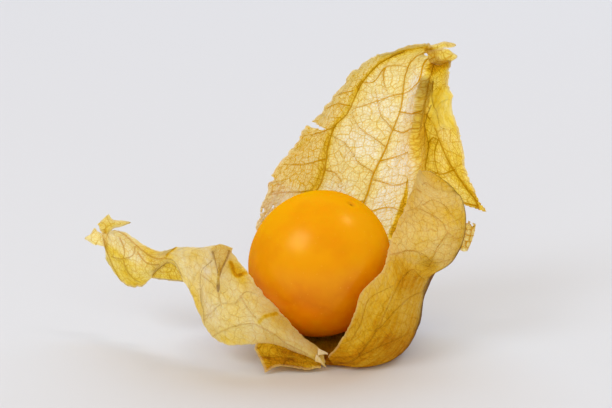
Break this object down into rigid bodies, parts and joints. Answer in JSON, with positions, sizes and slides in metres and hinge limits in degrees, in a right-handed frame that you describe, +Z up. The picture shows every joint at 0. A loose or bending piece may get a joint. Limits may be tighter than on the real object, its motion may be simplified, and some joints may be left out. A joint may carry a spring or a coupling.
{
  "type": "cape gooseberry in torn husk",
  "caption": "Edible round physalis berry in its dry papery husk, which is torn open into a tall hood, a curled lobe and a long twisted arm.",
  "frame": {"origin": "on the table under the berry's centre, on the flat underside of the husk's base", "axes": "+X along the longest side, towards the hood's torn point; +Y away from the husk's open front; +Z up"},
  "size_m": [0.0507, 0.0277, 0.0367],
  "materials": {
    "berry_skin": "satin orange skin, soft gloss, slightly translucent",
    "husk_paper": "dry matt papery leaf with raised golden veins, thin enough to let light through",
    "stalk_fibre": "matt, dry and fibrous"
  },
  "bodies": {
    "root": {"berry": "berry_skin", "husk": "husk_paper", "stalk": "stalk_fibre"}
  },
  "joints": []
}
